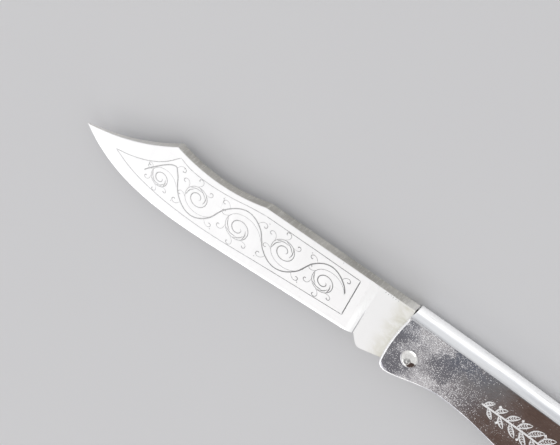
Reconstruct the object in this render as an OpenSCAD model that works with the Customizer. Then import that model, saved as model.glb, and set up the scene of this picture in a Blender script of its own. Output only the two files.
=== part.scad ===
// Slip-joint pocket knife with a folded sheet-steel handle, shown open.
// Origin: on the blade's pivot axis, at the level of the rivet flats it lies on.
// +X runs to the butt, +Y to the back of the handle, +Z up out of the cheek.

/* [Handle] */
// Thickness of the sheet that is folded into the handle
sheet = 1.0; // [0.8:0.1:1.2]
// Height of the back above the pivot axis, at its crest
back_y = 12.0; // [11.6:0.1:12.6]
// Radius of the long shallow arc that the back follows
back_bow_r = 1000; // [800:50:1400]
// Where along the handle the back is highest
crest_x = 20; // [10:1:30]
// Reach of the front edge ahead of the pivot
front_reach = 6.0; // [5.8:0.1:6.4]
// Radius of the bowed front edge
front_edge_r = 44; // [36:1:60]
// Radius of the lower front corner
corner_r = 2.2; // [1.5:0.1:2.6]
// Depth of the lower front corner below the pivot axis
corner_y = 7.2; // [6.8:0.1:7.8]
// Where along the handle its waist lies
waist_x = 11; // [9:0.5:14]
// Depth of the belly edge below the pivot axis, at the waist
waist_y = 3.8; // [3.4:0.1:4.4]
// Where along the handle the belly is deepest
belly_x = 52; // [46:1:58]
// Greatest depth of the belly edge below the pivot axis
belly_y = 9.0; // [8.4:0.1:9.8]
// Radius of the rounded butt about the rear rivet
butt_r = 6.0; // [5.6:0.1:6.6]

/* [Blade] */
// Thickness of the blade stock
blade_t = 3.0; // [2.6:0.1:3.4]
// Length of blade that shows ahead of the handle
blade_len = 89.6; // [84:0.2:96]
// Drop of the blade's spine below the inside of the fold
spine_drop = 0.2; // [0.1:0.05:0.4]
// Droop of the straight spine from the handle to the bend
spine_fall = 1.2; // [0.6:0.1:1.8]
// Length from the tip to the bend where the spine starts to dip
bend_len = 49.2; // [46:0.2:52]
// Length from the tip to the corner of the clip
clip_len = 23.6; // [21:0.2:26]
// Height of the clip corner above the pivot axis
clip_y = 8.75; // [8.2:0.05:9.2]
// Depth of the dip between bend and clip corner
dip = 1.95; // [1.4:0.05:2.4]
// Hollow of the clip between its corner and the tip
clip_hollow = 1.42; // [0.8:0.02:2.0]
// Depth of the tip below the pivot axis
tip_y = 1.9; // [1.4:0.1:2.4]
// Length from the tip to where the straight edge turns into the belly curve
curve_len = 41.6; // [38:0.2:45]
// Depth of the edge below the pivot axis, where the belly curve starts
edge_y = 9.36; // [9.0:0.02:9.6]
// Distance from the pivot axis to the rear end of the cutting edge
heel_x = 17.6; // [17:0.1:19]
// Depth of the edge below the pivot axis, at the heel
heel_y = 6.2; // [5.9:0.05:6.5]
// Distance from the pivot axis to the plunge line
plunge_x = 14.3; // [13.8:0.1:15]
// Length over which the plunge blends into the ground face
plunge_blend = 2.4; // [1.6:0.1:3.2]
// Thickness just behind the cutting edge
edge_t = 0.5; // [0.3:0.05:0.7]
// Width of the sharpened bevel
bevel_w = 0.7; // [0.4:0.05:1.0]
// Rise of each ground face, per mm of width, at the heel
grind_heel = 0.076; // [0.07:0.001:0.08]
// Rise of each ground face, per mm of width, at the tip
grind_tip = 0.058; // [0.05:0.001:0.066]
// Distance from the pivot axis to the bottom of the kick
kick_x = 11.6; // [11.2:0.1:12]
// Depth of the kick below the pivot axis
kick_y = 6.8; // [6.6:0.05:7.1]

/* [Slip joint] */
// Angle that the blade turns through from open to closed
fold_angle = 177.5; // [176.5:0.5:178.5]
// Distance from the pivot axis to the two flats of the tang
tang_flat = 5.0; // [4.8:0.05:5.2]
// Radius of the tang's rounded end, which lifts the spring between the flats
tang_r = 5.8; // [5.6:0.05:6.0]
// Gap between the tang or kick and the spring
seat_gap = 0.05; // [0.03:0.01:0.1]
// Gap between the spring's nose and the notch behind the spine
notch_gap = 0.15; // [0.1:0.05:0.3]
// Set-back of the notch ahead of the handle's front edge
notch_reach = 0.35; // [0.25:0.05:0.5]
// Height of the spring's nose above the tang flat
nose_h = 4.0; // [3.6:0.1:4.2]
// Width of the spring, across the handle
spring_w = 2.4; // [2.2:0.1:2.6]
// Thickness of the spring's leaf along the fold
leaf_t = 1.4; // [1.2:0.05:1.5]
// Where along the handle the spring first lies against the fold
leaf_x = 48; // [44:1:54]
// Length of the spring's tail over which it widens to its eye
tail_len = 15; // [13:0.5:17]
// Radius of the spring's eye on the rear rivet
eye_r = 2.9; // [2.5:0.1:3.2]

/* [Rivets and bail] */
// Diameter of the pivot rivet's shank
pivot_d = 3.0; // [2.6:0.1:3.4]
// Diameter of both rivets' heads
head_d = 4.4; // [4.2:0.1:4.8]
// Height of the pivot rivet's heads above the cheeks
pivot_head_h = 1.4; // [1.4:0.05:1.7]
// Diameter of the flat peened into the top of each head
head_flat_d = 2.0; // [1.6:0.1:2.4]
// Diameter of the rear rivet's shank
rear_d = 2.6; // [2.2:0.1:3.0]
// Height of the rear rivet's heads above the bail's ears
rear_head_h = 0.4; // [0.3:0.05:0.5]
// Depth of the rear rivet below the back of the handle
rear_inset = 5.2; // [5:0.1:5.6]
// Clearance from the closed blade's tip to the rear rivet's axis
tip_clear = 2.4; // [2.2:0.1:3]
// Thickness of the strap that the bail is bent from
bail_t = 0.8; // [0.6:0.05:0.9]
// Width of the bail's strap
bail_w = 3.4; // [2.8:0.1:4.2]
// Radius of the bail's ears
ear_r = 3.2; // [2.8:0.1:3.6]
// Gap for a cord between the butt and the bail's bend
loop_gap = 7.6; // [7:0.1:10]

/* [Clearances] */
// Gap on each side of the blade, between the cheeks
side_gap = 0.1; // [0.08:0.01:0.15]
// Gap between the spring and the inside of the fold and cheeks
spring_gap = 0.1; // [0.08:0.01:0.15]
// Radial clearance of the blade on its rivet
pivot_gap = 0.05; // [0.03:0.01:0.08]
// Radial clearance of the bail on its rivet
bail_bore_gap = 0.06; // [0.03:0.01:0.09]
// Gap between the bail's ears and the cheeks, and under the heads
bail_gap = 0.1; // [0.08:0.01:0.15]
// Radial clearance of a rivet in the sheet and in the spring that it holds
rivet_gap = 0.02; // [0.01:0.005:0.03]

/* [Hidden] */
$fn = 96;

// The folded sheet: inside and outside of the fold, and the arc its axis follows
in_r = blade_t / 2 + side_gap;
out_r = in_r + sheet;
axis_y = back_y - out_r;
bow_c = [crest_x, axis_y - back_bow_r];
function back_drop(x) = back_bow_r - sqrt(pow(back_bow_r, 2) - pow(x - crest_x, 2));
// Height at which the corners of the flat spring come to lie in the round of the fold
function leaf_y(x) = axis_y - back_drop(x) + sqrt(pow(in_r - spring_gap, 2) - pow(spring_w / 2, 2));
function front_x(y) = front_edge_r - front_reach - sqrt(pow(front_edge_r, 2) - pow(y + 1, 2));

// The rear rivet stands clear of the closed tip, below the back
tip_x = front_reach + blade_len;
rear_x = tip_x + tip_clear;
rear_y = back_y - back_drop(rear_x) - rear_inset;
rear = [rear_x, rear_y];

// Levels above the mid-plane, and the height at which the knife lies
head_top = out_r + max(pivot_head_h, bail_t + 2 * bail_gap + rear_head_h);
bail_in = out_r + bail_gap;
bail_out = bail_in + bail_t;
pivot_top = out_r + pivot_head_h;
rear_top = bail_out + bail_gap + rear_head_h;

// The blade's heights and lengths, from the pivot axis
spine_y = back_y - sheet - spine_drop;
notch_x = front_x(spine_y) - notch_reach;
kick = [-kick_x, -kick_y];
tip = [-tip_x, -tip_y];
clip = [-tip_x + clip_len, clip_y];
bend = [-tip_x + bend_len, spine_y - spine_fall];
curve_start = [-tip_x + curve_len, -edge_y];
heel = [-heel_x, -heel_y];
big = 60;

function turned(p, a) = [p.x * cos(a) - p.y * sin(a), p.x * sin(a) + p.y * cos(a)];
function arc(c, r, a0, a1, n) = [for (i = [0:n]) c + r * [cos(a0 + (a1 - a0) * i / n), sin(a0 + (a1 - a0) * i / n)]];
function bezier(p, n) = [for (i = [0:n]) let (t = i / n, s = 1 - t)
    s * s * s * p[0] + 3 * s * s * t * p[1] + 3 * s * t * t * p[2] + t * t * t * p[3]];
// A shallow arc from p to q, bowed to the right of that direction by h, without its last point
function bowed(p, q, h, n) =
    let (d = q - p, l = norm(d), r = l * l / (8 * h) + h / 2, a = asin(l / 2 / r), u = d / l)
    [for (i = [0:n - 1]) let (b = -a + 2 * a * i / n)
        (p + q) / 2 + u * r * sin(b) + [u.y, -u.x] * (r * cos(b) - r + h)];
// Angle at which a line from point [l, w] touches a circle of radius r about the origin
function touch_angle(l, w, r) = atan2(w, l) + acos(r / norm([l, w]));

// Section of the folded sheet across its length: flat cheeks and a round fold, r thick each way
module fold_section(r) {
    translate([back_bow_r - big / 2, -r]) square([big / 2, 2 * r]);
    translate([back_bow_r, 0]) circle(r, $fn = 64);
}

// That section swept along the arc of the back, past both ends of the handle by extra
module swept_fold(r, extra) {
    a0 = asin((front_reach + extra + crest_x) / back_bow_r);
    a1 = asin((rear_x + butt_r + extra - crest_x) / back_bow_r);
    translate(bow_c) rotate([0, 0, 90 - a1])
        rotate_extrude(angle = a0 + a1, $fn = 1440) fold_section(r);
}

// Side outline of the handle, taller than the back so that the fold sets its top
function handle_outline() =
    let (
        top = back_y + 3,
        slope = 19.4,
        low = [front_x(-corner_y + corner_r) + corner_r, -corner_y + corner_r],
        c0 = low + corner_r * [cos(250 + slope), sin(250 + slope)],
        waist = [waist_x, -waist_y],
        belly = [belly_x, -belly_y],
        b1 = rear + butt_r * [sin(slope), -cos(slope)]
    )
    concat(
        [for (i = [0:14]) let (y = top - (top + corner_y - corner_r) * i / 14) [front_x(y), y]],
        arc(low, corner_r, 190, 250 + slope, 8),
        bezier([c0, c0 + [3.2, 0], waist - [5.5, 0], waist], 12),
        bezier([waist, waist + [13, 0], belly - [18, 0], belly], 18),
        bezier([belly, belly + [16, 0], b1 - 10.7 * [cos(slope), sin(slope)], b1], 18),
        arc(rear, butt_r, slope - 90, 80, 24),
        [[rear_x, top]]
    );

module handle_shell() {
    color("silver")
    difference() {
        intersection() {
            swept_fold(out_r, 0.5);
            linear_extrude(4 * out_r, center = true) polygon(handle_outline());
        }
        swept_fold(in_r, 4);
        cylinder(h = 4 * out_r, r = pivot_d / 2 + rivet_gap, center = true);
        translate(rear) cylinder(h = 4 * out_r, r = rear_d / 2 + rivet_gap, center = true);
    }
}

// The cutting edge from the heel to the tip: straight, then one belly curve
edge_curve = bezier([curve_start, curve_start + [-17, -1.5], tip + [11, -8.6], tip], 22);
edge_slope = (edge_y - heel_y) / (heel.x - curve_start.x);

// Side outline of the blade: spine, dip, clip, edge, heel, kick and tang
function blade_outline() =
    let (
        flat2 = -fold_angle + 90,
        half_flat = acos(tang_flat / tang_r),
        n2 = [cos(flat2), sin(flat2)],
        side2 = [n2.y, -n2.x],
        low = tang_flat * n2 + 6.3 * side2
    )
    concat(
        [[notch_x, tang_flat], [notch_x, spine_y]],
        bowed(bend, clip, -dip, 14),
        bowed(clip, tip, -clip_hollow, 14),
        [for (i = [22:-1:0]) edge_curve[i]],
        bezier([heel, heel + [1.6, 0.14], [-plunge_x - 0.7, -heel_y + 0.9], [-plunge_x + 0.1, -4.2]], 6),
        bezier([kick + [-1.5, 1.1], kick + [-0.7, 0.1], kick + [-0.3, -0.15], kick + [0.7, 0.1]], 6),
        [low],
        arc([0, 0], tang_r, flat2 + half_flat, 90 - half_flat, 24)
    );

// What the grinding wheel takes off one face: stations along the edge, each a line straight
// across the blade, that rises from the bevel at the edge to the spine
module ground_away() {
    half = blade_t / 2;
    below = 3;
    above = 26;
    keen = 0.02;
    blend = [0, 0.02, 0.06, 0.14, 0.27, 0.45, 0.7, 1];
    function straight_y(x) = -heel_y + edge_slope * (x + heel_x);
    // Stations as [x, y of the edge, share of the full grind depth]
    plunge = [for (b = blend) let (x = -plunge_x - b * plunge_blend)
        [x, straight_y(x), b == 0 ? -0.06 : sqrt(1 - pow(1 - b, 2))]];
    x0 = -plunge_x - plunge_blend;
    run = [for (i = [1:4]) let (x = x0 + (curve_start.x - x0) * i / 4) [x, straight_y(x), 1]];
    curve = [for (i = [1:22]) [edge_curve[i].x, edge_curve[i].y, 1]];
    st = concat(plunge, run, curve, [[tip.x - 2, tip.y + 1.7, 1]]);
    n = len(st);
    function rate(x) = grind_heel + (grind_tip - grind_heel) * (x + heel_x) / (tip.x + heel_x);
    function level(z, share) = half + (z - half) * share;
    // The bevel starts a little outside the edge, so that it meets the blank's side cleanly
    function station(x, y, f) =
        [
            [x, y - below, level(keen, f)],
            [x, y - 2 * keen, level(keen, f)],
            [x, y + bevel_w, level(edge_t / 2, f)],
            [x, y + above, level(edge_t / 2 + rate(x) * (above - bevel_w), f)],
            [x, y + above, blade_t + 2],
            [x, y - below, blade_t + 2]
        ];
    points = [for (s = st) each station(s[0], s[1], s[2])];
    sides = [for (i = [0:n - 2], k = [0:5]) each let (a = 6 * i + k, b = 6 * i + (k + 1) % 6)
        [[a, b, b + 6], [a, b + 6, a + 6]]];
    ends = [[5, 4, 3, 2, 1, 0], [for (k = [0:5]) 6 * (n - 1) + k]];
    polyhedron(points, concat(sides, ends), convexity = 4);
}

module blade() {
    color("gainsboro")
    difference() {
        linear_extrude(blade_t, center = true) polygon(blade_outline());
        ground_away();
        mirror([0, 0, 1]) ground_away();
        cylinder(h = 2 * blade_t, r = pivot_d / 2 + pivot_gap, center = true);
    }
}

// The spring's side outline: nose over the tang, seat for the kick, leaf along the fold, tail
function spring_outline() =
    let (
        nose_x = notch_x + notch_gap,
        under = tang_flat + seat_gap,
        nose_top = tang_flat + nose_h,
        seat = turned(kick + [0.2, 0], fold_angle) + [0, seat_gap + 0.05],
        tail_x = rear_x - tail_len,
        end_x = rear_x + eye_r,
        leaf_in = leaf_y(leaf_x) - leaf_t,
        tail_in = leaf_y(tail_x) - leaf_t
    )
    concat(
        [[nose_x, nose_top], [nose_x, under], [5.8, under], seat],
        bezier([seat + [1.2, 0.3], seat + [9, 2.2], [leaf_x - 14, leaf_in], [leaf_x, leaf_in]], 8),
        [for (i = [1:5]) let (x = leaf_x + (tail_x - leaf_x) * i / 6) [x, leaf_y(x) - leaf_t]],
        bezier([[tail_x, tail_in], [tail_x + 6, tail_in - 0.6], rear + [-4.5, 1.8], rear + [-eye_r * 0.8, -eye_r * 0.6]], 8),
        arc(rear, eye_r, 225, 360, 12),
        [for (i = [0:14]) let (x = end_x + (leaf_x - end_x) * i / 14) [x, leaf_y(x)]],
        bezier([[leaf_x - 1, leaf_y(leaf_x)], [leaf_x - 14, leaf_y(leaf_x) - 0.1],
            [nose_x + 20, nose_top + 0.1], [nose_x + 9, nose_top]], 8)
    );

module backspring() {
    color("lightgray")
    difference() {
        linear_extrude(spring_w, center = true) polygon(spring_outline());
        translate(rear) cylinder(h = 4 * out_r, r = rear_d / 2 + rivet_gap, center = true);
    }
}

// A rivet: a plain shank with a dome at each end, peened flat on top
module rivet(shank_d, under, top) {
    dome_h = top - under;
    r = head_d / 2;
    f = head_flat_d / 2;
    // The dome is part of a ball that runs from the top of a low rim to the flat
    rim = 0.1;
    c = rim + (pow(dome_h - rim, 2) - r * r + f * f) / (2 * (dome_h - rim));
    ball = norm([r, c - rim]);
    cylinder(h = 2 * under + 0.02, r = shank_d / 2, center = true);
    for (side = [0, 1]) mirror([0, 0, side]) translate([0, 0, under])
        rotate_extrude() intersection() {
            translate([0, c]) circle(ball, $fn = 180);
            square([r, dome_h]);
        }
}

module pivot_rivet() {
    color("whitesmoke") rivet(pivot_d, out_r, pivot_top);
}

module rear_rivet() {
    color("whitesmoke") translate(rear) rivet(rear_d, bail_out + bail_gap, rear_top);
}

// The bail's bend, seen along its width: two straight ears joined by a half-round
module bail_bend(r, length) {
    translate([-big / 2, -r]) square([big / 2 + length, 2 * r]);
    translate([length, 0]) circle(r);
}

module bail() {
    length = butt_r + loop_gap - bail_in;
    a = touch_angle(length, bail_w / 2, ear_r);
    color("silver")
    translate(rear)
    difference() {
        intersection() {
            rotate([90, 0, 0]) linear_extrude(4 * ear_r, center = true) difference() {
                bail_bend(bail_out, length);
                bail_bend(bail_in, length);
            }
            linear_extrude(4 * bail_out, center = true) union() {
                circle(ear_r);
                polygon([ear_r * [cos(a), sin(a)], ear_r * [cos(a), -sin(a)],
                    [length, -bail_w / 2], [length + 2 * bail_out, -bail_w / 2],
                    [length + 2 * bail_out, bail_w / 2], [length, bail_w / 2]]);
            }
        }
        cylinder(h = 4 * bail_out, r = rear_d / 2 + bail_bore_gap, center = true);
    }
}

translate([0, 0, head_top]) {
    handle_shell();
    blade();
    backspring();
    pivot_rivet();
    rear_rivet();
    bail();
}
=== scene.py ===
"""A slip-joint pocket knife with a folded sheet-steel handle, dressed around its CAD frame."""

import math

import bmesh
import bpy
import numpy as np
from mathutils import Matrix, Vector, noise
from mathutils.bvhtree import BVHTree
from mathutils.geometry import delaunay_2d_cdt


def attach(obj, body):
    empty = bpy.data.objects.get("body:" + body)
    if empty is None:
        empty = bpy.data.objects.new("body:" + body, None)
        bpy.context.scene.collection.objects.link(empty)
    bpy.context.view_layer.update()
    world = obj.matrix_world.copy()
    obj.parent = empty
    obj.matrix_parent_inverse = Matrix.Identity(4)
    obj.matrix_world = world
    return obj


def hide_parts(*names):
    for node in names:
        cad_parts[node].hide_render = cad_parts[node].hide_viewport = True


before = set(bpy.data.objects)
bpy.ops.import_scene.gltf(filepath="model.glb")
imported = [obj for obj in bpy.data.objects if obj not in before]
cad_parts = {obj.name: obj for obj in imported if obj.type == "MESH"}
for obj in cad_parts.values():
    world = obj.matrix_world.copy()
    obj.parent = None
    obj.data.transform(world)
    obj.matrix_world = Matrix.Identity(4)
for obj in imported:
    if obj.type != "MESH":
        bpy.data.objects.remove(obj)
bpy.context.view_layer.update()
MM = 0.001

# Places and sizes on the knife, in mm, with the pivot rivet at x = y = 0
MID = 4.0  # height of the mid-plane above the floor
OUTSIDE, INSIDE = 2.6, 1.6  # from the mid-plane to a cheek's outer and inner face
PIVOT, REAR = (0.0, 0.0), (98.0, 3.75336)  # the two rivets
PLUNGE, PLUNGE_END = -14.3, -16.7  # where the blade's grinding starts, and where it is full
HALF, EDGE = 1.5, 0.02  # half the blade's thickness, and half that of its cutting edge
HEEL, EDGE_RISE = (-17.6, -6.2), 0.0868  # the cutting edge's rear end, and its slope there
# The corners of the blade's back, from inside the handle to the tip
SPINE, BEND, CLIP, TIP = (-4.74, 10.8), (-46.4, 9.6), (-72.0, 8.75), (-95.6, -1.9)
DIP, CLIP_HOLLOW = -1.95, -1.42  # how far the spine curves in from BEND to CLIP, and from CLIP to TIP
EASE_FROM, EASE_TO = -6.0, -91.0  # the part of the spine whose edges are eased
HEAD, FLAT = 4.4, 2.0  # across a rivet's head, and across the flat on it
DOME = 1.4  # the height of the pivot rivet's dome, for which the wear was set


# Camera and stage, in metres

def show(name, data):
    """A new object in the scene."""
    made = bpy.data.objects.new(name, data)
    bpy.context.scene.collection.objects.link(made)
    return made


def make_camera():
    """The photograph's viewpoint, found from the outlines of blade and handle: close to overhead,
    from the back of the knife, and rolled."""
    data = bpy.data.cameras.new("camera")
    data.sensor_width = 36.0
    data.lens = 104.784
    data.clip_start, data.clip_end = 0.01, 20.0
    cam = show("camera", data)
    place = (0.029524, 0.214699, 0.309193)
    right = (0.79301057, 0.40090343, -0.45870543)
    up = (-0.57845059, 0.73173505, -0.36049789)
    back = (0.191126, 0.55121706, 0.81217646)
    turn = Matrix((right, up, back)).transposed().to_4x4()
    cam.matrix_world = Matrix.Translation(place) @ turn
    bpy.context.scene.camera = cam


class Net:
    """A node tree, with short calls for the nodes that the materials share."""

    def __init__(self, tree):
        self.tree = tree
        tree.nodes.clear()

    def add(self, kind, inputs=None, **settings):
        """A new node, with its inputs set or linked."""
        node = self.tree.nodes.new(kind)
        for key, value in settings.items():
            setattr(node, key, value)
        for key, value in (inputs or {}).items():
            self.put(node.inputs[key], value)
        return node

    def put(self, socket, value):
        if isinstance(value, bpy.types.NodeSocket):
            self.tree.links.new(value, socket)
        else:
            socket.default_value = value

    def math(self, how, a, b=0.0):
        return self.add("ShaderNodeMath", {0: a, 1: b}, operation=how).outputs[0]

    def ramp(self, value, a, b, low=0.0, high=1.0):
        """value from a to b becomes low to high, smoothly, and no more or less."""
        values = {"Value": value, "From Min": a, "From Max": b, "To Min": low, "To Max": high}
        return self.add("ShaderNodeMapRange", values, interpolation_type="SMOOTHSTEP").outputs[0]

    def mix(self, share, a, b):
        """A colour from a to b."""
        a, b = [(*x, 1.0) if isinstance(x, tuple) else x for x in (a, b)]
        return self.add("ShaderNodeMix", {0: share, 6: a, 7: b}, data_type="RGBA").outputs[2]

    def tint(self, colour, share, most, tone):
        """The colour, turned towards a tone by most times the share."""
        return self.mix(self.math("MULTIPLY", share, most), colour, tone)

    def plus(self, a, b, times):
        """a, and b that many times."""
        return self.math("ADD", a, self.math("MULTIPLY", b, times))

    def level(self, value, low=0.0, high=1.0):
        """0.3 to 0.7, where most of a noise lies, becomes low to high."""
        return self.ramp(value, 0.3, 0.7, low, high)

    def split(self, where):
        """The outputs X, Y and Z of a place or a direction."""
        return self.add("ShaderNodeSeparateXYZ", {0: where}).outputs

    def noise(self, where, scale, detail=3.0, rough=0.5, distortion=0.0):
        values = {"Vector": where, "Scale": scale, "Detail": detail, "Roughness": rough,
                  "Distortion": distortion}
        return self.add("ShaderNodeTexNoise", values).outputs[0]

    def stretch(self, where, scale, turn=(0.0, 0.0, 0.0)):
        return self.add("ShaderNodeMapping", {"Vector": where, "Scale": scale,
                                              "Rotation": turn}).outputs[0]

    def bump(self, height, distance, under=None):
        values = {"Height": height, "Distance": distance, "Strength": 1.0}
        if under is not None:
            values["Normal"] = under
        return self.add("ShaderNodeBump", values).outputs[0]


def make_world():
    """A soft pale room, with two dark cards that the polished steel mirrors."""
    world = bpy.data.worlds.new("room")
    world.use_nodes = True
    bpy.context.scene.world = world
    net = Net(world.node_tree)
    way = net.add("ShaderNodeTexCoord").outputs["Generated"]
    at = net.split(way)

    def card(middle, full, none):
        """1 up to full degrees from the card's middle, and 0 from none degrees on."""
        facing = net.add("ShaderNodeVectorMath", {0: way, 1: Vector(middle).normalized()},
                         operation="DOT_PRODUCT").outputs[1]
        return net.ramp(facing, math.cos(math.radians(none)), math.cos(math.radians(full)))

    sky = net.mix(net.ramp(at["Z"], 0.0, 0.8), (0.92, 0.92, 0.93), (0.80, 0.80, 0.81))
    # The upper card is grey on its left and brown on its right, with a ragged seam
    seam = net.plus(at["X"], net.noise(way, 34.0, 3.0, 0.6), 0.05)
    seam = net.math("SUBTRACT", seam, net.math("MULTIPLY", at["Y"], 0.5))
    upper = net.mix(net.ramp(seam, 0.283, 0.287), (0.29, 0.288, 0.296), (0.185, 0.125, 0.104))
    colour = net.mix(card((0.0, -0.54, 0.84), 12, 23), sky, upper)
    colour = net.mix(card((0.50, -0.83, 0.20), 20, 29), colour, (0.08, 0.055, 0.05))
    # Beyond the floor's edge the camera sees the floor's own tone, not the cards
    seen = net.add("ShaderNodeLightPath").outputs["Is Camera Ray"]
    colour = net.mix(seen, colour, (0.64, 0.64, 0.65))
    back = net.add("ShaderNodeBackground", {"Color": colour, "Strength": 1.0})
    net.add("ShaderNodeOutputWorld", {0: back.outputs[0]})


def make_lamp(name, way, distance, wide, tall, power):
    """A soft box that stands off in the direction way and faces what the photograph shows."""
    shown = Vector((-0.02, 0.0, 0.0))
    data = bpy.data.lights.new(name, "AREA")
    data.shape = "RECTANGLE"
    data.size, data.size_y, data.energy = wide, tall, power
    lamp = show(name, data)
    way = Vector(way).normalized()
    lamp.location = shown + way * distance
    lamp.rotation_mode = "QUATERNION"
    lamp.rotation_quaternion = way.to_track_quat("Z", "Y")
    return lamp


def spare_the_floor(lamp, floor):
    """A low lamp would draw a white stripe across the floor, so it lights all but the floor."""
    spared = bpy.data.collections.new(lamp.name + "_spares")
    spared.objects.link(floor)
    spared.collection_objects[0].light_linking.link_state = "EXCLUDE"
    lamp.light_linking.receiver_collection = spared


def make_floor():
    """A pale sheet of paper that the knife lies on."""
    bm = bmesh.new()
    bmesh.ops.create_grid(bm, x_segments=4, y_segments=4, size=3.0)
    data = bpy.data.meshes.new("floor")
    bm.to_mesh(data)
    bm.free()
    data.materials.append(surface("floor_paper", paper))
    floor = show("floor", data)
    return floor


# Materials, in metres

def surface(name, build):
    """A material. build adds to the net and returns the shader's inputs."""
    material = bpy.data.materials.new(name)
    material.use_nodes = True
    net = Net(material.node_tree)
    where = net.add("ShaderNodeTexCoord").outputs["Object"]
    skin = net.add("ShaderNodeBsdfPrincipled", build(net, where))
    net.add("ShaderNodeOutputMaterial", {0: skin.outputs[0]})
    return material


def metal(name, build):
    """A metal. build adds to the net and returns its colour, roughness and normal."""
    def inputs(net, where):
        colour, rough, normal = build(net, where)
        return {"Base Color": colour, "Metallic": 1.0, "Roughness": rough, "Normal": normal}

    return surface(name, inputs)


def paper(net, where):
    """Plain pale paper, for the floor."""
    tone = net.mix(net.noise(where, 9.0), (0.71, 0.71, 0.72), (0.74, 0.74, 0.745))
    return {"Base Color": tone, "Roughness": 0.85, "Specular IOR Level": 0.2}


def scratches(net, where, turn, scale, share):
    """Thin broken lines, 1 on a scratch and 0 elsewhere."""
    long = net.stretch(where, (scale * 0.06, scale, scale), (0, 0, turn))
    return net.ramp(net.noise(long, 1.0, 2.0, 0.5), share, share + 0.03)


def handle_chrome(net, where):
    """Polished sheet: dense pale specks in rough clouds, paler patches by the pivot that are painted
    soft highlight, darker and bluer towards the fold as painted reflection, and clearer behind the
    waist.
    """
    clouds = net.noise(where, 150.0, 4.0, 0.55, 0.5)
    broad = net.noise(where, 62.0, 2.0, 0.5)
    grain = net.noise(where, 5200.0, 2.0, 0.6)
    at = net.split(where)
    behind = net.ramp(net.plus(at["X"], clouds, 0.030), 0.026, 0.036)
    both = net.plus(net.math("MULTIPLY", clouds, 0.6), broad, 0.4)
    # Beside and above the pivot the sheet is rougher and paler, and that paler colour is painted soft
    # highlight
    for x, y, reach, more in ((0.0065, -0.0030, 0.0095, 0.055), (0.0005, 0.0060, 0.0065, 0.055)):
        highlight_spot = (x, y, (MID + OUTSIDE) * MM)
        beside = net.add("ShaderNodeVectorMath", {0: where, 1: highlight_spot},
                         operation="DISTANCE").outputs["Value"]
        both = net.math("ADD", both, net.ramp(beside, reach, 0.3 * reach, 0.0, more))
    fewer = net.math("SUBTRACT", 1.0, net.math("MULTIPLY", behind, 0.65))
    patchy = net.math("MULTIPLY", net.ramp(both, 0.36, 0.66), fewer)
    # A cell has a speck where its random number is high enough, more often in the clouds
    specks = 0.0
    for scale, start in ((5200.0, 0.66), (3300.0, 0.90)):
        cells = net.add("ShaderNodeTexVoronoi", {"Vector": where, "Scale": scale, "Randomness": 1.0})
        chance = net.add("ShaderNodeSeparateColor", {0: cells.outputs["Color"]}).outputs["Red"]
        rare = net.plus(net.math("MULTIPLY", behind, 0.31), patchy, -0.42)
        rare = net.math("ADD", rare, net.ramp(at["X"], 0.009, 0.001, 0.0, 0.16))
        chosen = net.ramp(net.math("SUBTRACT", chance, rare), start, start + 0.16)
        size = net.ramp(cells.outputs["Distance"], 0.26, 0.50, 1.0, 0.0)
        specks = net.math("MAXIMUM", specks, net.math("MULTIPLY", size, chosen))
    worn = net.math("ADD", scratches(net, where, 0.5, 3400.0, 0.72),
                    scratches(net, where, -0.9, 3000.0, 0.74))
    # Darker and bluer towards the fold, in front of the waist: a painted reflection
    painted_fold_reflection = net.mix(net.ramp(at["Y"], 0.002, 0.009), (0.52, 0.51, 0.55), (0.42, 0.45, 0.53))
    thread = net.noise(net.stretch(where, (900.0, 3400.0, 900.0), (0, 0, 0.6)), 1.0, 4.0, 0.65)
    clear = net.mix(net.ramp(thread, 0.38, 0.66), (0.47, 0.465, 0.47), (0.60, 0.59, 0.59))
    colour = net.mix(patchy, net.mix(behind, painted_fold_reflection, clear), (0.78, 0.78, 0.80))
    colour = net.mix(specks, colour, (0.97, 0.97, 0.98))
    colour = net.tint(colour, worn, 0.4, (0.85, 0.85, 0.87))
    rough = net.plus(net.ramp(patchy, 0.0, 1.0, 0.05, 0.23), specks, 0.42)
    normal = net.bump(grain, 0.0000012, net.bump(clouds, 0.000008))
    return colour, rough, net.bump(specks, -0.000003, normal)


def rim_chrome(net, where):
    """The rounded edge of the sheet: bright at the mouth, and darker and bluer in patches along the
    belly, which is painted shade.
    """
    marks = net.noise(where, 1500.0, 4.0, 0.6)
    patches = net.noise(where, 210.0, 3.0, 0.6)
    # In patches along the belly the rim turns darker and bluer: painted shade
    belly = net.ramp(net.split(where)["X"], 0.001, 0.011)
    belly_shade = net.math("MULTIPLY", belly, net.ramp(patches, 0.30, 0.52, 0.55, 1.0))
    colour = net.mix(net.level(marks), (0.96, 0.96, 0.96), (0.86, 0.86, 0.87))
    colour = net.mix(belly_shade, colour, (0.50, 0.50, 0.54))
    return colour, net.level(marks, 0.24, 0.34), net.bump(marks, 0.00001)


def fold_satin(net, where):
    """The round of the fold, rubbed along its length: white on its outer round, a painted highlight,
    and grey towards the cheek above, painted shade.
    """
    lines = net.noise(net.stretch(where, (130.0, 2600.0, 2600.0)), 1.0, 4.0, 0.6)
    wide = net.noise(net.stretch(where, (60.0, 700.0, 700.0)), 1.0, 3.0, 0.55)
    worn = scratches(net, where, 0.15, 2400.0, 0.66)
    height = net.plus(net.split(where)["Z"], wide, 0.0006)
    # Grey above this height and white below it: painted shade and painted highlight
    upper = net.ramp(height, 0.0057, 0.0062)
    lower = net.ramp(height, 0.0058, 0.0044)
    rubbed = net.ramp(wide, 0.35, 0.68)
    white = net.mix(rubbed, (1.0, 1.0, 1.0), (0.97, 0.975, 0.98))
    grey = net.mix(rubbed, (0.89, 0.905, 0.92), (0.74, 0.755, 0.78))
    colour = net.tint(net.mix(upper, white, grey), worn, 0.4, (0.66, 0.66, 0.67))
    rough = net.plus(net.level(lines, 0.50, 0.58), upper, -0.17)
    normal = net.bump(wide, 0.00002, net.bump(lines, 0.000003))
    return colour, net.plus(rough, lower, 0.20), normal


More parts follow.
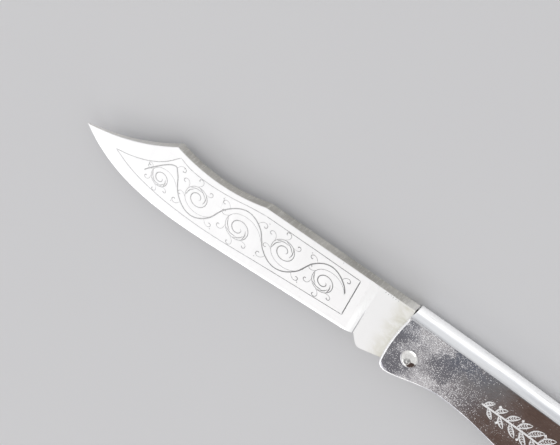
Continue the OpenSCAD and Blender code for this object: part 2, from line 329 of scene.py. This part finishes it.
def engraved_white(net, where):
    """The floors of the lines cut into the cheek: matt and nearly white."""
    marks = net.noise(where, 2600.0, 3.0, 0.6)
    colour = net.mix(net.level(marks), (0.98, 0.98, 0.98), (0.86, 0.86, 0.86))
    return colour, net.level(marks, 0.46, 0.60), net.bump(marks, 0.00001)


def blade_satin(net, where):
    """The ground faces of the blade: fine lines across it, pale clouds and a few scratches."""
    clouds = net.noise(where, 60.0, 3.0, 0.5)
    lines = net.noise(net.stretch(where, (5200.0, 240.0, 240.0)), 1.0, 3.0, 0.6)
    worn = scratches(net, where, 1.2, 1900.0, 0.70)
    colour = net.mix(net.level(clouds), (0.95, 0.95, 0.95), (0.91, 0.91, 0.91))
    colour = net.tint(colour, worn, 0.25, (0.8, 0.8, 0.8))
    return colour, net.level(lines, 0.40, 0.50), net.bump(lines, 0.0000022)


def blade_cut(net, where):
    """The floors of the etched lines: matt and grey, and rubbed paler towards the tip."""
    marks = net.noise(where, 2200.0, 3.0, 0.6)
    rubbed = net.ramp(net.split(where)["X"], -0.022, -0.058)
    dark = net.mix(rubbed, (0.24, 0.24, 0.24), (0.56, 0.56, 0.56))
    pale = net.mix(rubbed, (0.38, 0.38, 0.38), (0.70, 0.70, 0.70))
    colour = net.mix(net.level(marks), pale, dark)
    return colour, net.level(marks, 0.5, 0.62), net.bump(marks, 0.00001)


def blade_spine(net, where):
    """The back of the blade: grey, and paler where it meets the handle and towards the tip."""
    lines = net.noise(net.stretch(where, (2600.0, 150.0, 420.0), (0, 0.5, 0)), 1.0, 4.0, 0.7)
    clouds = net.noise(where, 90.0, 3.0, 0.5)
    along = net.split(where)["X"]
    colour = net.mix(net.level(clouds), (0.68, 0.665, 0.62), (0.48, 0.47, 0.435))
    colour = net.tint(colour, net.ramp(lines, 0.45, 0.72), 0.55, (0.92, 0.91, 0.87))
    by_handle = net.ramp(net.plus(along, lines, 0.003), -0.009, -0.0025, 0.0, 0.9)
    by_tip = net.ramp(along, -0.068, -0.080, 0.0, 0.6)
    colour = net.mix(by_handle, colour, (1.0, 0.99, 0.95))
    colour = net.mix(by_tip, colour, (1.0, 0.99, 0.97))
    return colour, net.level(lines, 0.36, 0.52), net.bump(lines, 0.000006)


def ricasso_satin(net, where):
    """White steel, with a thin stain where the handle's edge holds damp, and a grey line of
    painted shade in the crease at the bottom of the plunge."""
    lines = net.noise(net.stretch(where, (900.0, 4200.0, 900.0), (0, 0, 0.25)), 1.0, 3.0, 0.6)
    clouds = net.noise(where, 260.0, 4.0, 0.65, 0.6)
    at = net.split(where)
    near = net.ramp(at["X"], -0.0115, -0.0045)
    stain = net.math("MULTIPLY", near, net.ramp(clouds, 0.34, 0.66))
    colour = net.mix(near, (1.0, 1.0, 0.995), (0.96, 0.955, 0.92))
    colour = net.mix(stain, colour, (0.80, 0.785, 0.70))
    # A grey line in the plunge's crease, darkest at the bottom and fading upwards: painted shade
    off = net.math("ABSOLUTE", net.math("SUBTRACT", at["X"], (PLUNGE - 0.12) * MM))
    painted_crease_shade = net.math("MULTIPLY", net.ramp(off, 0.00026, 0.00006), net.ramp(at["Y"], 0.0045, -0.0015))
    colour = net.tint(colour, painted_crease_shade, 0.75, (0.36, 0.36, 0.37))
    rough = net.math("ADD", net.level(lines, 0.52, 0.60), net.ramp(at["Y"], -0.002, 0.006, 0.0, 0.16))
    return colour, rough, net.bump(lines, 0.000002)


def edge_polish(net, where):
    """The sharpened bevel: brighter than the ground faces, with the stone's fine lines."""
    lines = net.noise(net.stretch(where, (3000.0, 600.0, 600.0), (0, 0, 0.4)), 1.0, 3.0, 0.6)
    colour = net.mix(net.level(lines), (0.96, 0.96, 0.96), (0.88, 0.88, 0.88))
    return colour, net.level(lines, 0.26, 0.38), net.bump(lines, 0.000002)


def rivet_chrome(net, where):
    """Bright steel with the small dents of the hammer."""
    dents = net.noise(where, 900.0, 3.0, 0.55)
    fine = net.noise(where, 4200.0, 2.0, 0.6)
    colour = net.mix(net.ramp(dents, 0.35, 0.7), (0.90, 0.90, 0.87), (0.76, 0.74, 0.72))
    normal = net.bump(fine, 0.000004, net.bump(dents, 0.00003))
    return colour, net.level(fine, 0.10, 0.18), normal


def bail_chrome(net, where):
    """Plated strap, marked and scratched along its length."""
    marks = net.noise(where, 700.0, 4.0, 0.6)
    worn = scratches(net, where, 0.1, 2400.0, 0.66)
    colour = net.mix(net.ramp(marks, 0.35, 0.7), (0.78, 0.78, 0.79), (0.68, 0.67, 0.67))
    colour = net.tint(colour, worn, 0.4, (0.9, 0.9, 0.9))
    return colour, net.level(marks, 0.14, 0.24), net.bump(marks, 0.00002)


def spring_grey(net, where):
    """Bare spring steel, drawn along its length."""
    lines = net.noise(net.stretch(where, (260.0, 2600.0, 2600.0)), 1.0, 3.0, 0.6)
    clouds = net.noise(where, 120.0, 3.0, 0.6)
    colour = net.mix(net.level(clouds), (0.50, 0.49, 0.47), (0.36, 0.35, 0.34))
    return colour, net.level(lines, 0.30, 0.45), net.bump(lines, 0.000005)


# Mesh tools, in mm

def solid_of(node):
    """A CAD node's mesh, welded, with its flat faces whole, in mm."""
    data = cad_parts[node].data
    bm = bmesh.new()
    verts = [bm.verts.new(v.co) for v in data.vertices]
    for polygon in data.polygons:
        bm.faces.new([verts[i] for i in polygon.vertices])
    bmesh.ops.scale(bm, vec=(1 / MM,) * 3, verts=bm.verts)
    bmesh.ops.remove_doubles(bm, verts=bm.verts, dist=1e-4)
    flat = math.radians(0.03)
    bmesh.ops.dissolve_limit(bm, angle_limit=flat, verts=bm.verts, edges=bm.edges)
    bm.normal_update()
    return bm


def ease(bm, width, wanted, segments, look, clamp=True):
    """Rounds the sharp edges whose middles are wanted, and gives the new faces their look."""
    sharp = math.radians(35)
    edges = [e for e in bm.edges if e.is_manifold and e.calc_face_angle(0) > sharp
             and wanted((e.verts[0].co + e.verts[1].co) / 2)]
    made = bmesh.ops.bevel(bm, geom=edges, offset=width, segments=segments, profile=0.5,
                           affect="EDGES", clamp_overlap=clamp, loop_slide=True)
    for face in made["faces"]:
        face.material_index = look
    bm.normal_update()


def triangles(bm):
    """Splits every face into triangles."""
    bmesh.ops.triangulate(bm, faces=bm.faces, ngon_method="BEAUTY")
    bm.normal_update()


def depth_field(points, strokes, slope, most=0.13):
    """How deep the cut is at each point: a V whose sides slope, and no deeper than most."""
    depth = np.zeros(len(points))
    for line, half in strokes:
        low = line.min(0) - half.max()
        high = line.max(0) + half.max()
        near = np.flatnonzero(((points >= low) & (points <= high)).all(1))
        if not len(near):
            continue
        p = points[near][:, None]
        a, b = line[:-1][None], line[1:][None]
        d = b - a
        t = np.clip(((p - a) * d).sum(2) / np.maximum((d * d).sum(2), 1e-12), 0, 1)
        gap = np.linalg.norm(p - a - d * t[..., None], axis=2)
        wide = half[:-1] * (1 - t) + half[1:] * t
        rate = np.minimum(slope, most / np.maximum(wide, 1e-6))
        depth[near] = np.maximum(depth[near], (rate * (wide - gap)).max(1))
    return depth


def sides(triangle):
    """Its three sides, each as the pair of corners at its ends."""
    return [frozenset(pair) for pair in zip(triangle, triangle[1:] + triangle[:1])]


def slivers(empty, kept, place, most=0.02):
    """The thinnest triangles of a triangulation can lose the face that they came from. They are
    the groups of empty ones, of most area at most, with kept ones all round, and they take a
    neighbour's face."""
    owner = {side: ring for t, ring in kept for side in sides(t)}
    touching, found = {}, []
    for t in empty:
        for side in sides(t):
            touching.setdefault(side, []).append(t)
    left = set(empty)
    while left:
        group, grow = [], [left.pop()]
        while grow:
            t = grow.pop()
            group.append(t)
            for side in sides(t):
                for other in touching[side]:
                    if other in left:
                        left.remove(other)
                        grow.append(other)
        around = [side for t in group for side in sides(t)]
        rim = [side for side in around if around.count(side) == 1]
        area = 0.0
        for t in group:
            (ax, ay), (bx, by), (cx, cy) = place[list(t)]
            area += abs((bx - ax) * (cy - ay) - (cx - ax) * (by - ay)) / 2
        if area < most and all(side in owner for side in rim):
            found += [(t, owner[rim[0]]) for t in group]
    return found


def normals(line):
    """The unit normal to the line's left, at each of its points."""
    ahead = np.gradient(line, axis=0)
    ahead /= np.linalg.norm(ahead, axis=1)[:, None]
    return np.stack([-ahead[:, 1], ahead[:, 0]], 1)


def stroke_lines(strokes, points, thin=0.004):
    """Adds each stroke's middle line and its two outlines to the points, and returns the edges
    that join them. Where a stroke is thin, its outlines run along its middle."""
    edges = []
    for line, half in strokes:
        out = normals(line)
        middle = None
        for shift in (0, 1, -1):
            row = []
            for i, (p, w, n) in enumerate(zip(line, half, out)):
                if shift and w < thin:
                    row.append(middle[i])
                else:
                    row.append(len(points))
                    points.append(Vector(p + n * w * shift))
            middle = middle or row
            edges += list(zip(row[:-1], row[1:]))
    return edges


def engrave(bm, side, strokes, slope, chosen, look, rows=()):
    """Cuts V-shaped strokes into the faces that look up (side 1) or down (side -1). rows are
    more lines for the faces to meet at, each a list of points."""
    top = [f for f in bm.faces if f.normal.z * side > 0.05 and chosen(f.calc_center_median())]
    bm.verts.index_update()
    used = sorted({v for f in top for v in f.verts}, key=lambda v: v.index)
    number = {v: i for i, v in enumerate(used)}
    points = [v.co.xy.copy() for v in used]
    rings = [[number[v] for v in f.verts][::side] for f in top]
    looks = [f.material_index for f in top]
    tree = BVHTree.FromPolygons([v.co.copy() for v in used], rings)
    edges = stroke_lines(strokes, points)
    for line in rows:
        row = list(range(len(points), len(points) + len(line)))
        points += [Vector(p) for p in line]
        edges += list(zip(row[:-1], row[1:]))
    made = delaunay_2d_cdt(points, edges, rings, 0, 1e-4, True)
    spots, tris, from_points, from_rings = made[0], made[2], made[3], made[5]
    place = np.array([tuple(s) for s in spots])
    kept = [(t, min(r)) for t, r in zip(tris, from_rings) if r]
    kept += slivers([tuple(t) for t, r in zip(tris, from_rings) if not r], kept, place)
    depth = depth_field(place, strokes, slope)
    middles = place[np.array([t for t, _ in kept])].mean(1)
    inside = depth_field(middles, strokes, slope) > 1e-4
    for (tri, _), cut in zip(kept, inside):
        if not cut:
            depth[list(tri)] = 0
    verts = {}
    for i in sorted({i for t, _ in kept for i in t}):
        own = [j for j in from_points[i] if j < len(used)]
        if own:
            verts[i] = used[own[0]]
            continue
        # The uncut face's height there, or on the very outline the height of what is nearest
        x, y = spots[i]
        hit = tree.ray_cast(Vector((x, y, 60.0)), Vector((0, 0, -1)))[0]
        if hit is None:
            hit = tree.find_nearest(Vector((x, y, MID + side * 1.0)))[0]
        verts[i] = bm.verts.new((x, y, hit.z - side * depth[i]))
    bmesh.ops.delete(bm, geom=top, context="FACES_ONLY")
    for (tri, ring), cut in zip(kept, inside):
        corners = [verts[i] for i in tri][::side]
        if len(set(corners)) == 3 and not bm.faces.get(corners):
            bm.faces.new(corners).material_index = look if cut else looks[ring]
    loose = [e for e in bm.edges if not e.link_faces]
    bmesh.ops.delete(bm, geom=loose, context="EDGES")
    bm.normal_update()


def finish_piece(bm, name, body, materials, replaced, sharp=30.0, cut=None):
    """Turns the bmesh into a piece in metres, smooth but for its sharp edges. Where the look
    numbered cut starts is sharp too. The piece replaces a CAD node."""
    bmesh.ops.scale(bm, vec=(MM,) * 3, verts=bm.verts)
    bm.edges.index_update()
    lips = [e.index for e in bm.edges
            if [f.material_index == cut for f in e.link_faces].count(True) == 1]
    data = bpy.data.meshes.new(name)
    bm.to_mesh(data)
    bm.free()
    data.polygons.foreach_set("use_smooth", [True] * len(data.polygons))
    data.set_sharp_from_angle(angle=math.radians(sharp))
    for i in lips:
        data.edges[i].use_edge_sharp = True
    for material in materials:
        data.materials.append(material)
    piece = show(name, data)
    # Large faces keep their own normals, and the narrow rounds beside them take up the turn
    weigh = piece.modifiers.new("weigh", "WEIGHTED_NORMAL")
    weigh.mode, weigh.weight, weigh.keep_sharp = "FACE_AREA", 80, True
    shown = piece.evaluated_get(bpy.context.evaluated_depsgraph_get())
    piece.data = bpy.data.meshes.new_from_object(shown)
    piece.modifiers.clear()
    bpy.data.meshes.remove(data)
    piece.data.name = name
    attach(piece, body)
    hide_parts(replaced)
    return piece


# Ornament, in mm

# The etched panel's outline, from the handle to the tip and back: spine, clip and edge
PANEL_TOP = [(-18.9, 8.45), (-32.0, 8.1), (-45.6, 7.65), (-49.8, 7.0), (-55.2, 5.95), (-61.3, 5.35),
             (-66.6, 5.6), (-70.2, 6.7)]
PANEL_BEND = 2  # the point of PANEL_TOP where the spine's straight part ends
PANEL_CLIP = [(-70.2, 6.7), (-73.4, 3.1), (-77.4, 0.3), (-82.0, -1.65), (-86.2, -2.7)]
PANEL_LOW = [(-86.2, -2.7), (-80.0, -5.1), (-72.0, -6.5), (-63.0, -6.9), (-54.0, -6.5),
             (-40.5, -5.0), (-18.9, -2.75)]
STEM_FROM, STEM_TO = -20.6, -74.0  # the etched stem's start, and where no more bends start
SPRAY_FROM, SPRAY_TO = 19.0, 84.0  # the ends of the cheek's spray
TURNS = 2.1  # of each volute


def toward(angle):
    """The unit vector at that angle."""
    return np.array([math.cos(angle), math.sin(angle)])


def left_of(u):
    """The vector u, turned by a quarter to the left."""
    return np.array([-u[1], u[0]])


def lengths(line):
    """How far along the line each of its points is."""
    return np.concatenate([[0], np.cumsum(np.linalg.norm(np.diff(line, axis=0), axis=1))])


def stroke(points, width, shape="taper"):
    """A cut line along the points: even, tapered to both ends, or heavy at its head, the far end."""
    line = np.array(points, float)
    t = np.linspace(0, 1, len(line))
    run = lengths(line)
    share = {"even": np.minimum(1, 0.25 + np.minimum(run, run[-1] - run) / 0.4),
             "taper": np.sin(np.pi * t) ** 0.6,
             "head": (0.34 + 0.66 * t ** 1.6) * np.minimum(1, 14 * (1 - t)) ** 0.5}[shape]
    if shape != "even":
        share[[0, -1]] = 0
    return line, share * width / 2


def curve(points, step):
    """A smooth line through the points (Catmull-Rom), with even steps."""
    p = np.array(points, float)
    p = np.vstack([2 * p[0] - p[1], p, 2 * p[-1] - p[-2]])
    out = []
    for a, b, c, d in zip(p, p[1:], p[2:], p[3:]):
        for t in np.linspace(0, 1, 16, endpoint=False):
            out.append(0.5 * (2 * b + (c - a) * t + (2 * a - 5 * b + 4 * c - d) * t * t
                              + (3 * b - a - 3 * c + d) * t ** 3))
    out.append(p[-2])
    return resample(np.array(out), step)


def resample(line, step):
    """The line with points at even steps of about that length."""
    run = lengths(line)
    count = max(4, int(run[-1] / step) + 1)
    at = np.linspace(0, run[-1], count)
    return np.stack([np.interp(at, run, line[:, k]) for k in (0, 1)], 1)


def leaf(root, way, length, width, bend):
    """The three lines of a bent almond: both sides of its outline, and its vein."""
    u = toward(way)
    n = left_of(u)
    root = np.array(root, float)

    def line(side, first, last, count):
        """From a first to a last share of the length, on one side (1, -1) or in the middle (0)."""
        points = []
        for t in np.linspace(first, last, count):
            off = side * width / 2 * math.sin(math.pi * t) ** 0.8
            off += bend * width * math.sin(math.pi * t)
            points.append(root + u * length * t + n * off)
        return curve(points, 0.2)

    return line(1, 0, 1, 9), line(-1, 0, 1, 9), line(0, 0.05, 0.78, 6)


def crozier(root, way, length, turn, width=0.26):
    """A tendril that runs off along way and curls over to one side, with a heavy head."""
    u = toward(way)
    n = left_of(u) * turn
    shape = [(0, 0), (0.34, 0.01), (0.68, 0.10), (0.93, 0.35), (0.91, 0.68), (0.66, 0.82),
             (0.46, 0.68), (0.52, 0.52)]
    line = [np.array(root) + length * (u * a + n * b) for a, b in shape]
    return stroke(curve(line, 0.16), width, "head")


def dot(at, radius=0.16):
    """A stroke so short that it reads as a dot."""
    at = np.array(at, float)
    return stroke([at - (radius, 0), at, at + (radius, 0)], 2.2 * radius)


def volute(centre, reach, way, eye):
    """The place on a volute after a share of a turn, moved outwards by pull. It starts at reach
    from its centre, and ends round an eye of that size."""
    def at(share, pull=0.0):
        r = reach * 0.62 * (1 - share / TURNS) ** 0.85 + eye
        r += (reach - r) * max(0.0, 1 - share / 0.28) ** 2 + pull
        a = way * 0.12 + way * 2 * math.pi * share
        return centre + r * toward(a)

    return at


def lobes(on_turn, way, h):
    """Curled lobes off the lower half of a volute's first turn, and short ticks on its inside."""
    cuts = []
    for share, size in ((0.40, 0.30), (0.53, 0.36), (0.67, 0.36), (0.81, 0.30)):
        p, q = on_turn(share), on_turn(share + 0.02)
        cuts.append(crozier(p, math.atan2(*(q - p)[::-1]) - way * 0.45, size * h, -way, 0.25))
    for share in (0.42, 0.56, 0.70, 0.84):
        tick = [on_turn(share), on_turn(share + 0.10, -0.09 * h), on_turn(share + 0.2, -0.11 * h)]
        cuts.append(stroke(curve(tick, 0.16), 0.24))
    return cuts


def blade_strokes():
    """A border along the outline, and in it a waved stem with a volute in each bend."""
    top = curve(PANEL_TOP[:PANEL_BEND + 1], 0.5), curve(PANEL_TOP[PANEL_BEND:], 0.5)
    clip, low = curve(PANEL_CLIP, 0.5), curve(PANEL_LOW, 0.5)
    end = np.array([PANEL_LOW[-1], PANEL_TOP[0]])
    cuts = [stroke(line, 0.20, "even") for line in (*top, clip, low)]
    cuts.append(stroke(resample(end, 0.5), 0.27, "even"))
    roof = np.vstack([*top, clip])[::-1]

    def middle(x):
        """The height of the panel's middle at x, and half its height there."""
        high = np.interp(x, roof[:, 0], roof[:, 1])
        deep = np.interp(x, low[:, 0], low[:, 1])
        return (high + deep) / 2, (high - deep) / 2

    def on_bend(x0, x1, way, t):
        """The stem's place at the share t of its bend from x0 to x1, which swings to one side."""
        x = x0 + (x1 - x0) * t
        c, h = middle(x)
        return x, c + way * 0.82 * (h - 0.3) * math.sin(math.pi * t) ** 0.72

    bends = [STEM_FROM]
    while bends[-1] > STEM_TO:
        bends.append(bends[-1] - max(2.8, 1.92 * middle(bends[-1] - 5)[1]))
    stem = []
    for k, (x0, x1) in enumerate(zip(bends, bends[1:])):
        way = 1 if k % 2 == 0 else -1
        stem += [on_bend(x0, x1, way, t) for t in np.linspace(0, 1, 14, endpoint=False)]
        c, h = middle((x0 + x1) / 2)
        centre = np.array([(x0 + x1) / 2, c - way * 0.10 * h])
        on_turn = volute(centre, abs(x1 - x0) / 2, way, 0.07 * h)
        line = np.array([on_turn(share) for share in np.linspace(0, TURNS, 180)])
        cuts.append(stroke(resample(line, 0.2), 0.30, "head"))
        if h < 2.4:
            continue
        cuts += lobes(on_turn, way, h)
        # Tendrils leave the stem on its outer side, before and after the bend
        for t, turn in ((0.20, -1), (0.80, 1)):
            lean = way * (math.pi / 2 + turn * 0.5)
            root = on_bend(x0, x1, way, t)
            cuts.append(crozier(root, lean, 0.34 * middle(root[0])[1], turn * way))
        if k:
            c, h = middle(x0)
            cuts += [dot((x0, c + way * 0.80 * h)), dot((x0, c - way * 0.80 * h))]
    stem.append((bends[-1], middle(bends[-1])[0]))
    cuts.append(stroke(curve(stem, 0.3), 0.31, "even"))
    # Small nicks that the grinding left along the spine, most of them by the handle
    for x, y, turn in ((-12.6, 10.2, 0.5), (-11.9, 10.15, 0.9), (-11.2, 10.3, 0.3), (-10.6, 10.2, 1.2),
                       (-9.9, 10.3, 0.7), (-9.2, 10.3, 0.2), (-24.4, 9.85, 0.05)):
        at = np.array([x, y])
        reach = 0.20 * toward(turn)
        cuts.append(stroke([at - reach, at, at + reach], 0.16))
    return cuts


def handle_strokes():
    """A laurel spray along the cheek: a waved stem, paired leaves with veins, and berries."""
    cuts = []

    def stem(x):
        """Its height at x."""
        run = x - SPRAY_FROM
        return 1.9 - 0.022 * run + 0.55 * math.sin(run / 9.0)

    line = [(x, stem(x)) for x in np.linspace(SPRAY_FROM, SPRAY_TO, 60)]
    cuts.append(stroke(curve(line, 0.3), 0.5, "even"))
    for k, x in enumerate(np.arange(SPRAY_FROM + 0.6, SPRAY_TO - 2.5, 2.9)):
        # The leaves are largest at the middle of the spray
        swell = math.sin(math.pi * min(1, max(0, (x - 12) / 80))) ** 0.5
        for side in (1, -1):
            at = x + (1.2 if side < 0 else 0)
            root = np.array((at, stem(at)))
            *outline, vein = leaf(root, side * math.radians(47), 5.4 * swell, 1.5 * swell, 0.2 * side)
            cuts += [stroke(line, 0.34) for line in outline]
            # Short cuts slant from the vein to the outline
            for j in range(2, len(vein) - 2, 3):
                ahead = vein[j + 1] - vein[j]
                ahead /= np.linalg.norm(ahead)
                for lean in (1, -1):
                    tip = vein[j] + ahead * 0.55 + left_of(ahead) * lean * 0.48 * swell
                    cuts.append(stroke([vein[j], (vein[j] + tip) / 2, tip], 0.26))
            if k % 2:
                far = root + 3.4 * swell * toward(side * 1.42)
                cuts.append(dot(far, 0.34))
                cuts.append(stroke(curve([root, (root + far) / 2 + (0.25, 0), far], 0.25), 0.2))
    end = (SPRAY_TO, stem(SPRAY_TO))
    for way in (-0.5, 0.0, 0.5):
        cuts += [stroke(line, 0.26) for line in leaf(end, way, 3.4, 1.1, 0.0)]
    return cuts


# Pieces

def make_handle():
    """The folded sheet: rolled rims, a satin fold and the cut spray on the near cheek."""
    chrome, rolled, cut, fold = range(4)  # the looks' places in the list below
    bm = solid_of("handle_shell")
    for face in bm.faces:
        face.material_index = chrome
        if face.normal.y > 0.1 and face.calc_center_median().y > 7:
            face.material_index = fold

    def rim(p, level):
        """Whether p lies on the cheeks' outline at that distance from the mid-plane."""
        bored = any(math.hypot(p.x - x, p.y - y) < 2.5 for x, y in (PIVOT, REAR))
        blends = p.y > (5.6 if p.x > 100 else 9.0)  # here the outline runs into the fold
        return abs(abs(p.z - MID) - level) < 0.06 and not blends and not bored

    ease(bm, 0.6, lambda p: rim(p, OUTSIDE), 4, rolled, clamp=False)
    ease(bm, 0.2, lambda p: rim(p, INSIDE) and p.x < 101, 2, rolled, clamp=False)
    triangles(bm)
    engrave(bm, 1, handle_strokes(), 0.8, lambda p: p.z > MID + OUTSIDE - 5e-4, cut)
    looks = [metal("sheet_chrome", handle_chrome), metal("sheet_rim", rim_chrome),
             metal("sheet_engraving", engraved_white), metal("sheet_fold", fold_satin)]
    return finish_piece(bm, "handle_sheet", "handle", looks, "handle_shell", 34.0, cut)


def spine_line(inset):
    """The blade's spine from the handle to the clip's far end, moved inwards."""
    (x0, y0), (x1, y1) = SPINE, BEND
    line = [(EASE_FROM, 10.76)]
    line += [(x, y0 + (y1 - y0) * (x - x0) / (x1 - x0)) for x in np.linspace(-10, x1, 10)]
    for p, q, hollow in ((BEND, CLIP, DIP), (CLIP, TIP, CLIP_HOLLOW)):
        p, q = np.array(p), np.array(q)
        d = q - p
        n = -left_of(d / np.linalg.norm(d))
        line += [tuple(p + d * t + n * 4 * hollow * t * (1 - t)) for t in np.linspace(0.04, 1, 25)]
    line = np.array(line)
    line = line[line[:, 0] > EASE_TO - 0.5]
    return line + inset * normals(line)


def hollow_plunge(bm):
    """Moves the blade's faces, between ricasso and grind, onto the smooth hollow that a wheel
    leaves."""
    behind, wide = 0.25, 0.7  # half the thickness behind the bevel, and the bevel's width
    grind, more = 0.076, 0.00023  # the ground face's rise at the heel, and its growth along x
    steep = 0.31  # the bevel's rise
    for vert in bm.verts:
        x, y, z = vert.co
        if not PLUNGE_END - 1e-3 < x < PLUNGE + 1e-3 or y > 11:
            continue
        run = x - HEEL[0]
        above = y - (HEEL[1] + EDGE_RISE * run)
        ground = behind + (grind + more * run) * (above - wide)
        bevel = EDGE + steep * (above + 0.04)
        share = 1 - max(0.0, (x - PLUNGE_END) / (PLUNGE - PLUNGE_END)) ** 2.2
        height = HALF + (max(EDGE, min(ground, bevel)) - HALF) * share
        vert.co.z = MID + math.copysign(min(HALF, height), z - MID)
    bm.normal_update()


def soften_spine(bm, drop):
    """Lowers the two long edges of the spine, so that a narrow ease runs to the hem inside."""
    for vert in bm.verts:
        if not EASE_TO <= vert.co.x <= EASE_FROM or vert.co.y < 0:
            continue
        looks = {abs(f.normal.z) > 0.6 for f in vert.link_faces}
        if looks == {True, False}:
            vert.co.z -= math.copysign(drop, vert.co.z - MID)
    bm.normal_update()


def make_blade():
    """The blade: ground and etched faces, a bright bevel, a plain ricasso and an eased back."""
    satin, spine, ricasso, edge, etched = range(5)  # the looks' places in the list below
    bm = solid_of("blade")
    triangles(bm)
    for face in bm.faces:
        p, n = face.calc_center_median(), face.normal
        if abs(n.z) < 0.1:
            face.material_index = spine
        elif abs(n.z) < 0.97 and p.y < 0 and abs(p.z - MID) < 0.3:
            face.material_index = edge
        elif p.x > PLUNGE + 0.1 or (p.x > PLUNGE_END - 0.5 and abs(n.x) > 0.04):
            face.material_index = ricasso
        else:
            face.material_index = satin
    cuts = blade_strokes()
    # Faces also meet along the spine's ease, and along lines across the plunge
    rows = [spine_line(0.13)]
    for x in np.linspace(PLUNGE_END, PLUNGE, 12):
        rows.append([(x, y) for y in np.linspace(-4.1 if x > -15 else -5.2, 10.3, 16)])
    for side in (1, -1):
        engrave(bm, side, cuts, 0.5, lambda p: True, etched, rows)
    hollow_plunge(bm)
    soften_spine(bm, 0.07)
    looks = [metal("blade_satin", blade_satin), metal("blade_spine", blade_spine),
             metal("blade_ricasso", ricasso_satin), metal("blade_edge", edge_polish),
             metal("blade_etching", blade_cut)]
    return finish_piece(bm, "blade_engraved", "blade", looks, "blade", 12.0, etched)


def make_rivet(node, name, centre, top, under, shank, look):
    """A turned rivet, with a slightly hammered flat and a worn side on each dome. top and under
    are a head's heights from the mid-plane, and shank is a diameter."""
    r, f, h = HEAD / 2, FLAT / 2, top - under
    rim = 0.1  # the height of a head's upright side
    # The dome is part of a ball round a point c above the head's underside
    c = rim + ((h - rim) ** 2 - r * r + f * f) / (2 * (h - rim))
    ball = math.hypot(r, c - rim)
    a0 = math.atan2(rim - c, r)
    a1 = math.atan2(h - c, f)
    dome = [(shank / 2, under), (r - 0.05, under), (r, under + 0.03), (r, under + rim)]
    dome += [(ball * math.cos(a0 + (a1 - a0) * t), under + c + ball * math.sin(a0 + (a1 - a0) * t))
             for t in np.linspace(0.06, 0.96, 14)]
    dome += [(f * s, top - 0.012) for s in (0.93, 0.7, 0.45, 0.2, 0)]
    rows = [(x, -z) for x, z in reversed(dome)] + dome
    off = 0.57 * r  # from the axis to the middle of the worn facet
    worn = c + math.sqrt(max(0.0, ball ** 2 - off ** 2)) - 0.21 * (h / DOME)
    count = 72
    bm = bmesh.new()
    rings = []
    for x, z in rows:
        if x == 0:
            rings.append([bm.verts.new((centre[0], centre[1], MID + z))])
            continue
        ring = []
        for i in range(count):
            a = 2 * math.pi * i / count
            px, py = x * math.cos(a), x * math.sin(a)
            lean = (py * 0.6 - px * 0.8) / r
            fall = 0.30 * max(0.0, lean + 0.25) ** 1.3
            dent = 0.05 * noise.noise(Vector((px * 0.9, py * 0.9, math.copysign(2.6, z) + centre[0])))
            tall = max(0.0, abs(z) - under - rim)
            lift = min((dent - fall) * tall / DOME, top - abs(z)) if tall else 0.0
            # A worn facet, where a tilted plane takes the side of the dome
            plane = under + worn - 0.61 * (0.93 * px - 0.36 * py - off)
            high = min(abs(z) + lift, max(plane, under + rim)) if tall else abs(z)
            ring.append(bm.verts.new((centre[0] + px, centre[1] + py, MID + math.copysign(high, z))))
        rings.append(ring)
    for low, high in zip(rings, rings[1:]):
        for i in range(count):
            j = (i + 1) % count
            corners = [low[i % len(low)], low[j % len(low)], high[j % len(high)], high[i % len(high)]]
            bm.faces.new(list(dict.fromkeys(corners)))
    bm.normal_update()
    return finish_piece(bm, name, "handle", [look], node, 40.0)


def make_rivets():
    """Both rivets, of one steel. The knife lies on their heads, so these reach MID from its
    mid-plane. The rear rivet's heads stand on the bail's ears."""
    look = metal("rivet_chrome", rivet_chrome)
    make_rivet("pivot_rivet", "pivot_rivet_domes", PIVOT, MID, OUTSIDE, 3.0, look)
    make_rivet("rear_rivet", "rear_rivet_domes", REAR, MID, 3.6, 2.6, look)


def make_eased(node, name, body, width, segments, look):
    """A CAD node with all its sharp edges rounded, in one metal."""
    bm = solid_of(node)
    ease(bm, width, lambda p: True, segments, 0)
    triangles(bm)
    return finish_piece(bm, name, body, [look], node)


bpy.context.scene.view_settings.view_transform = "Standard"
make_camera()
make_world()
# Each lamp's direction and distance, then its width and height, and its watts
make_lamp("soft_key", (-0.25, -0.80, 0.52), 2.50, 1.85, 1.85, 10.1)
soft_fill = make_lamp("soft_fill", (0.05, 0.98, 0.14), 1.10, 1.57, 0.27, 2.77)
spare_the_floor(soft_fill, make_floor())
make_handle()
make_blade()
make_rivets()
make_eased("bail", "bail_strap", "bail", 0.16, 3, metal("bail_chrome", bail_chrome))
make_eased("backspring", "spring_leaf", "handle", 0.12, 2,
           metal("spring_grey", spring_grey))
